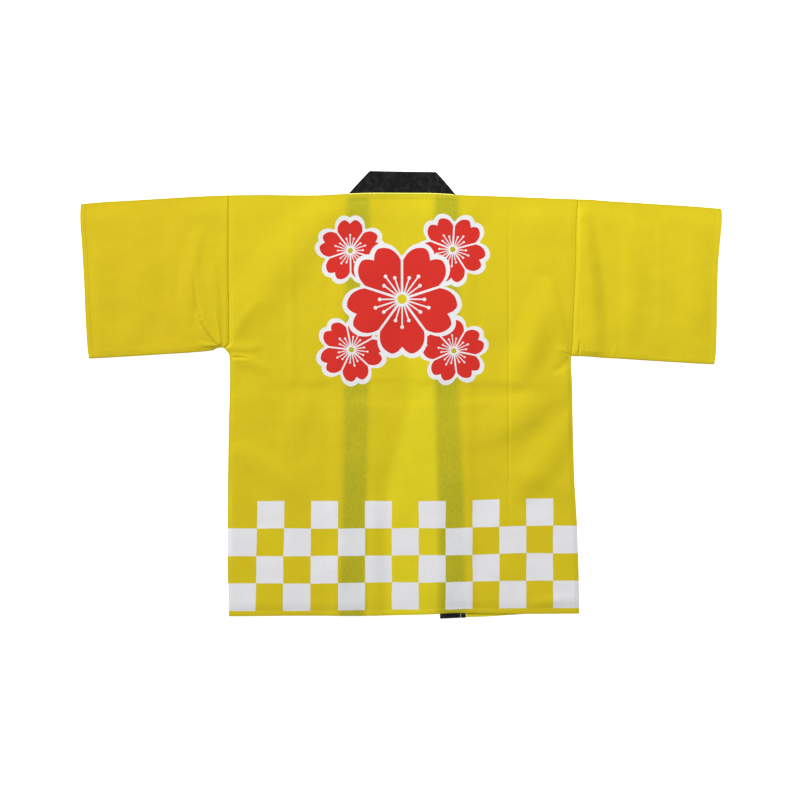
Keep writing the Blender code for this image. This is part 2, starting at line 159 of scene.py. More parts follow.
def run_outer_x(run, y):
    """Outer edge of one of the collar's two runs, where the front is sewn to it."""
    share = np.clip((y - run["hem"]) / (run["fold"] - run["hem"]), 0.0, 1.0)
    centre = run["hem_x"] + (run["neck_x"] - run["hem_x"]) * share
    return centre + run["side"] * (COLLAR_HEM_WIDTH + (COLLAR_WIDTH - COLLAR_HEM_WIDTH) * share) / 2


def node(tree, kind, *inputs, **settings):
    """Adds a shader node, sets it up, links or sets its inputs in turn, and gives its outputs."""
    made = tree.nodes.new("ShaderNode" + kind)
    for key, value in settings.items():
        setattr(made, key, value)
    for socket, value in zip(made.inputs, inputs):
        if isinstance(value, bpy.types.NodeSocket):
            tree.links.new(value, socket)
        elif value is not None:
            socket.default_value = value
    return made.outputs


def calc(tree, operation, *values):
    return node(tree, "Math", *values, operation=operation)[0]


def mix(tree, share, first, second, how="MIX"):
    made = tree.nodes.new("ShaderNodeMix")
    made.data_type = "RGBA"
    made.blend_type = how
    for place, value in ((0, share), (6, first), (7, second)):
        if isinstance(value, bpy.types.NodeSocket):
            tree.links.new(value, made.inputs[place])
        else:
            made.inputs[place].default_value = value
    return made.outputs[2]


def ramp(tree, value, start, end, low=0.0, high=1.0):
    """A soft step from low to high as the value goes from start to end."""
    return node(tree, "MapRange", value, start, end, low, high, interpolation_type="SMOOTHSTEP")[0]


def between(tree, value, low, high, soft):
    rise = ramp(tree, value, low - soft, low + soft)
    fall = ramp(tree, value, high - soft, high + soft, 1.0, 0.0)
    return calc(tree, "MULTIPLY", rise, fall)


def stretched_noise(tree, coordinates, scale, detail=2.0):
    """Noise drawn out along one axis by an uneven scale, as the threads of a weave are."""
    mapped = node(tree, "Mapping", coordinates, None, None, scale)[0]
    return node(tree, "TexNoise", mapped, None, 1.0, detail)[0]


def start_cotton(name, roughness, sheen):
    """A plain-weave cotton finish: its tree, coordinates, and the tone and height of its threads."""
    material = bpy.data.materials.new(name)
    material.use_nodes = True
    tree = material.node_tree
    shader = tree.nodes["Principled BSDF"]
    shader.inputs["Sheen Weight"].default_value = sheen
    shader.inputs["Sheen Roughness"].default_value = 0.45
    shader.inputs["Specular IOR Level"].default_value = 0.12
    here = node(tree, "TexCoord")[3]
    x, y, _ = node(tree, "SeparateXYZ", here)
    thread = 2.0 * math.pi / THREAD_PITCH
    across = calc(tree, "SINE", calc(tree, "MULTIPLY", x, thread))
    along = calc(tree, "SINE", calc(tree, "MULTIPLY", y, thread))
    weave = calc(tree, "MULTIPLY", across, along)
    warp = stretched_noise(tree, here, (1500.0, 60.0, 60.0))
    weft = stretched_noise(tree, here, (60.0, 1500.0, 60.0))
    slubs = calc(tree, "ADD", warp, weft)
    mottle = node(tree, "TexNoise", here, None, 16.0, 4.0, 0.6)[0]
    grain = node(tree, "TexNoise", here, None, 420.0, 3.0, 0.6)[0]
    tone = calc(tree, "MULTIPLY_ADD", slubs, 0.13, 0.82)
    tone = calc(tree, "MULTIPLY_ADD", grain, 0.10, tone)
    tone = calc(tree, "MULTIPLY_ADD", mottle, 0.10, calc(tree, "SUBTRACT", tone, 0.05))
    height = calc(tree, "MULTIPLY_ADD", slubs, 0.8, calc(tree, "MULTIPLY", weave, 0.35))
    rough = calc(tree, "MULTIPLY_ADD", mottle, 0.08, roughness - 0.04)
    tree.links.new(rough, shader.inputs["Roughness"])
    bump = node(tree, "Bump", 0.30, WEAVE_RELIEF, None, height)[0]
    return material, tree, shader, here, x, y, tone, bump


def finish_cotton(tree, shader, colour, tone, bump):
    """Gives the finish its colour, shaded by the tone of the threads, and the relief of its weave."""
    grey = node(tree, "CombineColor", tone, tone, tone)[0]
    tree.links.new(mix(tree, 1.0, colour, grey, "MULTIPLY"), shader.inputs["Base Color"])
    tree.links.new(bump, shader.inputs["Normal"])


def check_print(tree, here, x, y, colour):
    """Rows of printed white squares above the hem, standing corner to corner."""
    drift = node(tree, "TexNoise", here, None, 22.0, 1.0)[0]
    drift = calc(tree, "MULTIPLY_ADD", drift, CHECK_DRIFT, -CHECK_DRIFT / 2)
    climb = ramp(tree, x, 70 * MM, 262 * MM, 0.0, CHECK_CLIMB)
    below = calc(tree, "SUBTRACT", calc(tree, "ADD", climb, CHECK_TOP), calc(tree, "ADD", y, drift))
    lean = calc(tree, "MULTIPLY", ramp(tree, x, -60 * MM, -300 * MM, 0.0, CHECK_LEAN), below)
    column = calc(tree, "ADD", calc(tree, "ADD", x, drift), lean)
    column = calc(tree, "DIVIDE", calc(tree, "SUBTRACT", column, CHECK_LEFT), CHECK_WIDTH)
    squeezed = between(tree, x, -80 * MM, 190 * MM, 80 * MM)
    row = calc(tree, "DIVIDE", below, calc(tree, "MULTIPLY_ADD", squeezed, -CHECK_SQUEEZE, CHECK_HEIGHT))
    column = calc(tree, "MAXIMUM", column, 0.001)
    steps = calc(tree, "ADD", calc(tree, "FLOOR", column), calc(tree, "FLOOR", row))
    odd = calc(tree, "FLOORED_MODULO", steps, 2.0)
    started = calc(tree, "GREATER_THAN", row, 0.0)
    within = calc(tree, "MULTIPLY", started, calc(tree, "LESS_THAN", row, CHECK_ROWS))
    squares = calc(tree, "MULTIPLY", odd, within)
    return mix(tree, squares, colour, PRINT_WHITE), squares


front_cotton, tree, shader, here, x, y, tone, bump = start_cotton("front_cotton", 0.88, 0.06)
printed, _ = check_print(tree, here, x, y, COTTON_YELLOW)
finish_cotton(tree, shader, printed, tone, bump)


def side_line(side, y):
    """Edge of the body at a side, drawn in a little where the sleeve is sewn on."""
    edge = curve(SIDE_LEFT if side < 0 else SIDE_RIGHT, y)
    return edge + side * SEAM_CLOSING * smooth((y - UNDERARM[side]) / SEAM_START)


def rolled_edge(distance):
    """Drop of a folded edge, a quarter circle."""
    return EDGE_ROLL * (1 - np.sqrt(1 - 0.99 * np.clip(1 - distance / EDGE_ROLL, 0.0, 1.0) ** 2))


def thicken_hem(sheet, run, hem_rows):
    """Raises the upper face over the turned hem, most beside the collar that the front is sewn to."""
    faces, top = wall_faces(sheet)
    upper = faces[top]
    from_hem = upper[:, 1] - curve(hem_rows, upper[:, 0])
    from_run = np.abs(upper[:, 0] - run_outer_x(run, upper[:, 1]))
    raised = CLOTH + THICKER_BY_COLLAR * (1 - smooth(from_run / BY_COLLAR))
    upper[:, 2] += raised * smooth((HEM_DEPTH + 1 * MM - from_hem) / (2 * MM))
    sheet.data.vertices.foreach_set("co", faces.ravel())
    sheet.data.update()


def end_shift(x, y, hem_rows):
    """How far a row of the grid moves near the hem and the shoulder, to follow them."""
    at_hem = smooth((HEM_LEVEL + END_REACH - y) / END_REACH)
    at_shoulder = smooth((y - SHOULDER_LEVEL + END_REACH) / END_REACH)
    return (curve(hem_rows, x) - HEM_LEVEL) * at_hem + (curve(SHOULDER, x) - SHOULDER_LEVEL) * at_shoulder


def make_front(name, run, hem_rows):
    side = run["side"]
    down = places(HEM_LEVEL, SHOULDER_LEVEL, FRONT_STEP, (0.5, 4.0), NEAR_FOLD)
    over = places(0.0, FRONT_WIDTH, FRONT_STEP, NEAR_FOLD, (1.0,)) / FRONT_WIDTH
    share, y = np.meshgrid(over, down)
    shift = 0.0
    for _ in range(2):
        outer = side_line(side, y + shift)
        beside_run = run_outer_x(run, y) + side * BESIDE_COLLAR
        beside_fold = run["neck_x"] - side * (y + shift - run["fold"] - BESIDE_NECK_FOLD)
        inner = np.maximum(beside_run, beside_fold) if side < 0 else np.minimum(beside_run, beside_fold)
        x = outer + share * (inner - outer)
        shift = end_shift(x, y, hem_rows)
    y = y + shift
    from_side = np.abs(x - outer) / smooth((UNDERARM[side] - y) / SEAM_START + 1).clip(1e-4)
    from_edge = np.minimum(from_side, curve(SHOULDER, x) - y)
    front = cloth_grid(name, x, y, rolled_edge(from_edge))
    if side > 0:
        front.data.flip_normals()
    give_wall(front, 1.0)
    thicken_hem(front, run, hem_rows)
    front.data.materials.append(front_cotton)
    return front


STITCH = 2.6 * MM
STITCH_GAP = 0.9 * MM
THREAD_RADIUS = 0.20 * MM


def thread_finish(name, colour):
    """Spun cotton thread, with the twist of its strands."""
    material = bpy.data.materials.new(name)
    material.use_nodes = True
    tree = material.node_tree
    shader = tree.nodes["Principled BSDF"]
    shader.inputs["Sheen Weight"].default_value = 0.3
    here = node(tree, "TexCoord")[3]
    twist = node(tree, "TexNoise", here, None, 2600.0, 2.0)[0]
    dark = tuple(0.72 * part for part in colour[:3]) + (1.0,)
    tree.links.new(mix(tree, twist, dark, colour), shader.inputs["Base Color"])
    tree.links.new(calc(tree, "MULTIPLY_ADD", twist, 0.2, 0.6), shader.inputs["Roughness"])
    tree.links.new(node(tree, "Bump", 0.4, 0.05 * MM, None, twist)[0], shader.inputs["Normal"])
    return material


def sew(name, seams, material, facing=1.0):
    """Runs a row of stitches along each seam, a list of points on the face of the cloth."""
    bpy.ops.object.select_all(action="DESELECT")
    bpy.ops.mesh.primitive_uv_sphere_add(segments=6, ring_count=4, radius=1.0)
    pattern = bpy.context.object
    turned = np.array([corner.co[:] for corner in pattern.data.vertices])[:, [2, 0, 1]]
    turned = turned * [STITCH / 2, THREAD_RADIUS * 1.3, THREAD_RADIUS]
    loops = [list(face.vertices) for face in pattern.data.polygons]
    bpy.data.objects.remove(pattern, do_unlink=True)
    points, faces = [], []
    for seam in seams:
        seam = np.asarray(seam)
        steps = np.linalg.norm(np.diff(seam, axis=0), axis=1)
        reach = np.concatenate([[0.0], np.cumsum(steps)])
        middles = np.arange(STITCH, reach[-1] - STITCH / 2, STITCH + STITCH_GAP)
        here = np.stack([np.interp(middles, reach, seam[:, k]) for k in range(3)], axis=1)
        ahead = np.stack([np.interp(middles + 0.5 * MM, reach, seam[:, k]) for k in range(3)], axis=1) - here
        ahead /= np.linalg.norm(ahead, axis=1)[:, None]
        sideways = np.cross([0.0, 0.0, 1.0], ahead)
        sideways /= np.linalg.norm(sideways, axis=1)[:, None]
        out = np.cross(ahead, sideways) * facing
        for centre, along, across, lift in zip(here, ahead, sideways, out):
            first = len(points) * len(turned)
            points.append(centre + turned @ np.array([along, across, lift]))
            faces += [[first + corner for corner in loop] for loop in loops]
    mesh = bpy.data.meshes.new(name)
    mesh.from_pydata(np.concatenate(points).tolist(), [], faces)
    mesh.shade_smooth()
    stitches = bpy.data.objects.new(name, mesh)
    bpy.context.scene.collection.objects.link(stitches)
    pick(stitches)
    bpy.ops.object.mode_set(mode="EDIT")
    bpy.ops.mesh.select_all(action="SELECT")
    bpy.ops.mesh.normals_make_consistent(inside=False)
    bpy.ops.object.mode_set(mode="OBJECT")
    mesh.materials.append(material)
    return stitches


yellow_thread = thread_finish("yellow_thread", (0.66, 0.52, 0.03, 1.0))


def front_hem_seam(run, hem_rows):
    """The hem's stitching, seen on the underside of a front."""
    level = HEM_LEVEL + HEM_DEPTH
    inset = run["side"] * 3 * MM
    x = np.linspace(side_line(run["side"], level) - inset, run_outer_x(run, level) + inset, 40)
    return np.stack([x, curve(hem_rows, x) + HEM_DEPTH, np.full_like(x, -0.02 * MM)], axis=1)


front_left = make_front("front_left_cloth", LEFT_RUN, FRONT_HEM_LEFT)
front_right = make_front("front_right_cloth", RIGHT_RUN, FRONT_HEM_RIGHT)
front_seams = [front_hem_seam(LEFT_RUN, FRONT_HEM_LEFT), front_hem_seam(RIGHT_RUN, FRONT_HEM_RIGHT)]
front_stitches = sew("front_hem_stitches", front_seams, yellow_thread, -1.0)
for cloth, solid in ((front_left, "front_left"), (front_right, "front_right")):
    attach(cloth, "root")
    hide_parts(solid)
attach(front_stitches, "root")

# Collar.
# One long band of doubled black cotton with a firm core, sewn to both front edges and round the
# neck. It lies flat, and turns over at 45 degrees on each side of the neck.
SEAM = 0.3 * MM
COLLAR_THICK = 1.9 * MM
FOLD_RADIUS = COLLAR_THICK / 2 + SEAM / 2
COLLAR_BLACK = (0.0058, 0.0058, 0.0062, 1.0)
WORN_BLACK = (0.0200, 0.0200, 0.0218, 1.0)
LEFT_LENGTH = LEFT_RUN["fold"] - LEFT_RUN["hem"]
RIGHT_LENGTH = RIGHT_RUN["fold"] - RIGHT_RUN["hem"]
NECK_LENGTH = math.hypot(RIGHT_RUN["neck_x"] - LEFT_RUN["neck_x"], RIGHT_RUN["fold"] - LEFT_RUN["fold"])
BAND_LENGTH = LEFT_LENGTH + NECK_LENGTH + RIGHT_LENGTH
NECK_SLOPE = math.atan2(RIGHT_RUN["fold"] - LEFT_RUN["fold"], RIGHT_RUN["neck_x"] - LEFT_RUN["neck_x"])
FIRST_FOLD = (np.array([LEFT_RUN["neck_x"], LEFT_RUN["fold"]]), (math.pi / 2 + NECK_SLOPE) / 2)
SECOND_FOLD = (np.array([RIGHT_RUN["neck_x"], RIGHT_RUN["fold"]]), (NECK_SLOPE - math.pi / 2) / 2)
NECK_DIP = 32 * MM
NECK_EDGE = 376 * MM
UPPER_SPREAD_LEFT = 0.031
UPPER_SPREAD_RIGHT = 0.050
UPPER_REACH = 40 * MM
LOWER_PINCH = 0.016
LOWER_REACH = 32 * MM
PINCH_FROM = 345 * MM
PINCH_FADE = 18 * MM
END_SLANT = 2.0 * MM
END_ROUND = 0.8 * MM
FLAT_POINTS = 19
RUN_RINGS = 150
NECK_RINGS = 40
FOLD_RINGS = 10
CORE_RISE = 0.035
STITCH_LINE = -0.445
STITCH_DIP = 0.12 * MM
DIP_WIDTH = 0.9 * MM
HALF_TURN = math.pi * FOLD_RADIUS / 2


def neck_band_level(x):
    """Underside of the band behind the neck: on the runs at both sides, close to the table between."""
    left_edge = LEFT_RUN["neck_x"] + COLLAR_WIDTH / 2
    right_edge = RIGHT_RUN["neck_x"] - COLLAR_WIDTH / 2
    inward = np.minimum(x - left_edge, right_edge - x)
    return SEAM + (2 * FOLD_RADIUS - SEAM) * (1 - smooth(inward / NECK_DIP))


def turn_over(x, y, fold):
    """Folds what lies past the line back over. Gives the new place, the share of the half turn that
    is done, and the way out across the line."""
    (line_x, line_y), angle = fold
    out_x, out_y = -math.sin(angle), math.cos(angle)
    reach = (x - line_x) * out_x + (y - line_y) * out_y
    around = np.clip((reach + HALF_TURN) / FOLD_RADIUS, 0.0, math.pi)
    bent = FOLD_RADIUS * np.sin(around) - HALF_TURN
    folded = np.where(reach > HALF_TURN, -reach, np.where(reach < -HALF_TURN, reach, bent))
    return x + (folded - reach) * out_x, y + (folded - reach) * out_y, around, (out_x, out_y)


def collar_surface(along, across, height):
    """Place of a point of the flat band, from its place along and across it and its height in it."""
    on_left = along < LEFT_LENGTH + NECK_LENGTH / 2
    left_share = np.clip(along / LEFT_LENGTH, 0.0, 1.0)
    right_share = np.clip((BAND_LENGTH - along) / RIGHT_LENGTH, 0.0, 1.0)
    share = np.where(on_left, left_share, right_share)
    lean = np.where(on_left, LEFT_RUN["hem_x"] - LEFT_RUN["neck_x"], RIGHT_RUN["neck_x"] - RIGHT_RUN["hem_x"])
    width = COLLAR_HEM_WIDTH + (COLLAR_WIDTH - COLLAR_HEM_WIDTH) * share
    x = LEFT_RUN["neck_x"] + lean * (1 - share) + across * width
    y = LEFT_RUN["hem"] + along
    x, y, first, out_first = turn_over(x, y, FIRST_FOLD)
    lifted = FOLD_RADIUS * (1 - np.cos(first))
    lifted = np.where(first >= math.pi, neck_band_level(x), lifted)
    x, y, second, out_second = turn_over(x, y, SECOND_FOLD)
    lifted = lifted * (1 + np.cos(second)) / 2
    x = x - height * (np.sin(first) * out_first[0] + np.sin(second) * out_second[0])
    y = y - height * (np.sin(first) * out_first[1] + np.sin(second) * out_second[1])
    z = COLLAR_THICK / 2 + lifted + height * np.cos(first) * np.cos(second)
    middle = (LEFT_RUN["neck_x"] + RIGHT_RUN["neck_x"]) / 2
    upper_spread = np.where(x < middle, UPPER_SPREAD_LEFT, UPPER_SPREAD_RIGHT)
    spread = 1 + upper_spread * np.clip((y - NECK_EDGE) / UPPER_REACH, 0.0, 1.0)
    above_shoulder = np.clip((y - NECK_EDGE) / LOWER_REACH, 0.0, 1.0)
    spread -= LOWER_PINCH * (1 - above_shoulder) * smooth((y - PINCH_FROM) / PINCH_FADE)
    return middle + (x - middle) * spread, y, z


def band_sections():
    """Place along the band and slant of each ring round it; the rings lie along the folds."""
    turn = math.pi * FOLD_RADIUS * math.sqrt(2.0)
    slanting = (COLLAR_WIDTH - turn / 2) / FOLD_RINGS
    neck = (NECK_LENGTH - turn) / NECK_RINGS
    start = LEFT_LENGTH + NECK_LENGTH
    ends = (0.0, 0.25 * MM, END_ROUND)
    rings = [(s, 0.0) for s in ends]
    rings += [(s, 0.0) for s in np.linspace(4 * MM, LEFT_LENGTH - COLLAR_WIDTH, RUN_RINGS)]
    rings += [(LEFT_LENGTH - COLLAR_WIDTH + k * slanting, k / FOLD_RINGS) for k in range(1, FOLD_RINGS)]
    rings += [(LEFT_LENGTH + turn * (k / FOLD_RINGS - 0.5), 1.0) for k in range(FOLD_RINGS + 1)]
    rings += [(LEFT_LENGTH + turn / 2 + k * neck, 1 - 2 * k / NECK_RINGS) for k in range(1, NECK_RINGS)]
    rings += [(start + turn * (k / FOLD_RINGS - 0.5), -1.0) for k in range(FOLD_RINGS + 1)]
    rings += [(start + turn / 2 + k * slanting, k / FOLD_RINGS - 1.0) for k in range(1, FOLD_RINGS)]
    rings += [(s, 0.0) for s in np.linspace(start + COLLAR_WIDTH, BAND_LENGTH - 4 * MM, RUN_RINGS)]
    return rings + [(BAND_LENGTH - s, 0.0) for s in reversed(ends)]


def make_collar():
    """A ring of points round each section: its upper side, its folded edge, its under side, its seam."""
    flat = np.linspace(-0.5, 0.5, FLAT_POINTS)
    edge = np.linspace(0.0, math.pi, 7)[1:-1]
    soft = END_ROUND / COLLAR_WIDTH
    half_thick = COLLAR_THICK / 2
    ring_across = list(flat * (1 - 2 * soft)) + list(0.5 - soft + soft * np.sin(edge))
    ring_across += list(-flat * (1 - 2 * soft)) + list(-0.5 + soft - soft * np.sin(edge))
    ring_height = [half_thick] * FLAT_POINTS + list(half_thick * np.cos(edge))
    ring_height += [-half_thick] * FLAT_POINTS + list(-half_thick * np.cos(edge))
    sections = band_sections()
    places_along = np.array([s for s, _ in sections])
    slants = np.array([slant for _, slant in sections])
    across = np.tile(ring_across + ring_across[:1], (len(sections), 1))
    height = np.tile(ring_height + ring_height[:1], (len(sections), 1))
    along = places_along[:, None] + slants[:, None] * across * COLLAR_WIDTH
    along += END_SLANT * across * smooth((places_along[:, None] - BAND_LENGTH) / (30 * MM) + 1)
    end = np.minimum(places_along, BAND_LENGTH - places_along)[:, None]
    squeeze = np.sqrt(np.clip(1 - (1 - end / END_ROUND).clip(0.0) ** 2, 0.02, 1.0))
    core = 1.0 + CORE_RISE * np.cos(np.clip(across, -0.5, 0.5) * math.pi * 2)
    seam_dip = STITCH_DIP * np.exp(-((across - STITCH_LINE) * COLLAR_WIDTH / DIP_WIDTH) ** 2)
    height = (height - np.sign(height) * seam_dip) * squeeze * core / (1.0 + CORE_RISE)
    x, y, z = collar_surface(along, across, height)
    band = cloth_grid("collar_band", x, y, z)
    bpy.ops.object.mode_set(mode="EDIT")
    bpy.ops.mesh.select_all(action="SELECT")
    bpy.ops.mesh.remove_doubles(threshold=0.00001)
    bpy.ops.mesh.select_all(action="DESELECT")
    bpy.ops.mesh.select_non_manifold(extend=False)
    bpy.ops.mesh.edge_face_add()
    bpy.ops.mesh.select_all(action="SELECT")
    bpy.ops.mesh.normals_make_consistent(inside=False)
    bpy.ops.object.mode_set(mode="OBJECT")
    bpy.ops.object.shade_smooth()
    return band


collar_cotton, tree, shader, here, x, y, tone, bump = start_cotton("collar_cotton", 0.84, 0.08)
worn = node(tree, "TexNoise", here, None, 90.0, 5.0, 0.7)[0]
black = mix(tree, ramp(tree, worn, 0.44, 0.68), COLLAR_BLACK, WORN_BLACK)
finish_cotton(tree, shader, black, tone, bump)

collar = make_collar()
collar.data.materials.append(collar_cotton)


def collar_seam(across, start, end, height):
    along = np.linspace(start, end, 900)
    return np.stack(collar_surface(along, np.full_like(along, across), np.full_like(along, height)), axis=1)


white_thread = thread_finish("white_thread", (0.80, 0.80, 0.66, 1.0))
black_thread = thread_finish("black_thread", (0.020, 0.020, 0.022, 1.0))
collar_top = COLLAR_THICK / 2
left_row = collar_seam(STITCH_LINE, 3 * MM, LEFT_LENGTH - 60 * MM, -collar_top)
right_row = collar_seam(STITCH_LINE, BAND_LENGTH - RIGHT_LENGTH + 60 * MM, BAND_LENGTH - 3 * MM, -collar_top)
collar_stitches = sew("collar_stitches", [left_row, right_row], black_thread, -1.0)
tacks = [collar_seam(-0.30 + turn * 0.009, start, start + 11.5 * MM, collar_top)
         for turn in (-1, 0, 1) for start in (0.5 * MM, BAND_LENGTH - 12 * MM)]
collar_tacks = sew("collar_end_tacks", tacks, white_thread)
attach(collar, "root")
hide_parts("collar")
for stitches in (collar_stitches, collar_tacks):
    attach(stitches, "root")

# Back.
# One length of the same cotton over both fronts and the collar, turned up at the hem. A white
# check is printed above the hem, and red blossoms on a white ground between the shoulders.
BACK_HEM = [(-321, -411.0), (-180, -409.8), (-60, -410.0), (0, -408.6), (62, -406.9), (100, -404.7),
            (140, -405.8), (200, -406.4), (332, -405.8)]
PANEL_LAYER = 1.2 * MM
HEM_LIFT = 0.35 * MM
HEM_DROOP = 1.5 * MM
DROOP_REACH = 26 * MM
BACK_WIDTH = 650 * MM
BACK_STEP = 4.4 * MM
NEAR_HEM = (0.15, 0.5, 1.2, 2.5, 5.0, 7.6, 8.4, 9.2, 10.2, 12.0)
NEAR_TOP = (0.12, 0.35, 0.7, 1.25, 2.0, 2.8, 4.0, 6.0, 8.0, 9.6, 10.4, 11.2, 12.2)
NEAR_SIDE = (0.12, 0.35, 0.7, 1.25, 2.2, 3.4)
UNDERARM_ROWS = (46 * MM, 104 * MM, 1.6 * MM)
CREASE_COLUMNS = [(4 * MM, 40 * MM, 1.7 * MM), (518 * MM, 540 * MM, 1.7 * MM),
                  (610 * MM, 646 * MM, 1.7 * MM)]
LEAST_RISE = 0.9 * MM
SETTLING = 0.5 * MM
SIDE_FADE = 10 * MM
TOP_FADE = 50 * MM
HEM_FADE = 30 * MM
LEFT_RUN_ZONE = (-118 * MM, -53 * MM)
RIGHT_RUN_ZONE = (60 * MM, 123 * MM)
NECK_ZONE = (-118 * MM, 123 * MM)
NECK_OPENING = (-86 * MM, 90 * MM)
NECK_BAND_FROM = 357 * MM
RUN_SLOPE = 21 * MM
BAND_SLOPE = 62 * MM
HOLLOW_LEVEL = 0.5 * MM
RUN_RIDGE = 0.7 * MM
SAG_LINE = [(-404, -24), (-159, -19.5), (-10, 19.5), (150, 8), (330, 2)]
SEAM_GROOVE = 2.0 * MM
SEAM_DEPTH = 0.9 * MM

Fold = namedtuple("Fold", "x0 y0 x1 y1 bow left right height")
BACK_FOLDS = [
    Fold(-330, 96, -112, 380, 0, 66, 60, 4.0),
    Fold(-334, 70, -272, 68, 0, 13, 12, 1.3),
    Fold(-334, 70.2, -280, 67.4, 1, 3.5, 4.5, -1.7),
    Fold(-334, 92, -252, 92, -6, 20, 12, 1.2),
    Fold(-330, 56, -260, 60, 2, 14, 16, 0.4),
    Fold(-314, 60, -238, 44, 6, 16, 22, 1.3),
    Fold(-316, 100, -262, 180, 4, 16, 20, 1.2),
    Fold(-204, 400, -204, -80, 0, 14, 8, 0.9),
    Fold(201, 390, 201, -250, 0, 3.5, 6, -1.0),
    Fold(-262, 8, 284, 7, 2, 22, 34, -2.2),
    Fold(274, 214, 200, 6, 10, 44, 46, 4.0),
    Fold(270, 220, 304, 60, 5, 20, 30, 2.8),
    Fold(330, 78, 276, 40, 4, 9, 12, -1.2),
    Fold(336, 60, 288, 90, 0, 12, 12, 1.4),
    Fold(334, 61, 298, 81, 0, 3, 3, -2.0),
    Fold(324, 80, 298, 44, 0, 5, 5, 0.6),
    Fold(320, 36, 110, -90, 16, 50, 84, 3.2),
    Fold(320, -30, 206, -196, 10, 44, 50, 3.0),
    Fold(-316, -96, -176, -210, 14, 36, 44, 2.6),
    Fold(-150, 40, -216, -130, -8, 40, 40, 1.4),
    Fold(190, -140, 312, -190, 6, 34, 40, 1.5),
    Fold(-60, -230, -36, -400, -8, 36, 36, 1.2),
    Fold(-250, -240, -206, -400, 8, 48, 48, 1.4),
    Fold(230, -396, 330, -380, 4, 20, 14, 1.0),
    Fold(254, 400, 252, 226, -4, 44, 40, 1.2),
    Fold(240, 110, 236, -60, 0, 52, 50, 2.4),
]
NECK_ROLL = 0.30 * MM
NECK_ALLOWANCE = 11.5 * MM


def folded(folds, x, y):
    """Height of the folds, each a ridge, or a trough where its height is negative, that dies away
    towards its ends and falls off over a width of its own on each side."""
    height = np.zeros_like(x)
    for fold in folds:
        along = np.array([fold.x1 - fold.x0, fold.y1 - fold.y0]) * MM
        length = math.hypot(*along)
        right, up = x - fold.x0 * MM, y - fold.y0 * MM
        share = np.clip((right * along[0] + up * along[1]) / length ** 2, 0.0, 1.0)
        bowed = 4 * share * (1 - share) * fold.bow * MM
        aside = (up * along[0] - right * along[1]) / length - bowed
        fade = np.sin(math.pi * share) ** 0.7
        width = np.where(aside > 0, fold.left, fold.right) * MM * (0.6 + 0.4 * fade)
        reach = np.clip(np.abs(aside) / width, 0.0, 1.0)
        height += fold.height * MM * fade * 0.5 * (1 + np.cos(math.pi * reach))
    return height


def finer(lines, low, high, step):
    """Lays closer lines over a stretch of a grid."""
    return np.concatenate([lines[lines < low], np.arange(low, high, step), lines[lines >= high]])


def rumpled(x, y, seed, length, height):
    """Small unevenness that pressed cotton keeps, with no main direction."""
    dice = np.random.default_rng(seed)
    total = np.zeros_like(x)
    for _ in range(16):
        heading = dice.uniform(0, math.pi)
        turn = 2 * math.pi / (length * dice.uniform(0.7, 1.6))
        total += np.sin(turn * (x * math.cos(heading) + y * math.sin(heading)) + dice.uniform(0, 6.28))
    return total * height / 4


def above_flat(rise, softness):
    """Keeps the cloth from sinking below what it lies on."""
    return (rise + np.sqrt(rise * rise + softness * softness)) / 2


def outside(zone, x):
    return np.maximum(np.maximum(zone[0] - x, x - zone[1]), 0.0)


def back_bed(x, y):
    """What the back lies on: the fronts, the collar, and the table between the collar's runs. The
    cloth slopes softly off the runs, and between them sags to a line that wanders down the back."""
    lowest = curve(SAG_LINE, y)
    left_part, right_part = lowest - LEFT_RUN_ZONE[1], RIGHT_RUN_ZONE[0] - lowest
    sag = np.minimum((x - LEFT_RUN_ZONE[1]) / left_part, (RIGHT_RUN_ZONE[0] - x) / right_part)
    below_neck = smooth((330 * MM - y) / (150 * MM))
    floor = PANEL_LAYER + SEAM - (PANEL_LAYER + SEAM - HOLLOW_LEVEL) * below_neck
    bed = np.where(sag > 0, floor, PANEL_LAYER + SEAM)
    from_run = np.minimum(outside(LEFT_RUN_ZONE, x), outside(RIGHT_RUN_ZONE, x))
    sunk = np.clip(sag, 0.0, 1.0)
    on_run = 1 - np.where(sag > 0, 0.5 * smooth(sunk) + 0.5 * sunk, smooth(from_run / RUN_SLOPE))
    bed = bed + (COLLAR_THICK + SEAM + RUN_RIDGE * below_neck - bed) * on_run
    on_band = 1 - smooth(outside(NECK_ZONE, x) / BAND_SLOPE)
    on_band = on_band * (1 - smooth((NECK_BAND_FROM - y) / BAND_SLOPE))
    band_top = neck_band_level(x) + COLLAR_THICK + 2 * SEAM
    return bed + np.maximum(0.0, band_top - bed) * on_band


def turned_hem(distance):
    """The second layer under a turned hem, with the pull of its stitches along the top."""
    layer = HEM_LIFT * smooth((HEM_DEPTH + 0.9 * MM - distance) / (1.4 * MM))
    pull = 0.16 * MM * np.exp(-((distance - HEM_DEPTH) / (1.1 * MM)) ** 2)
    return layer - pull


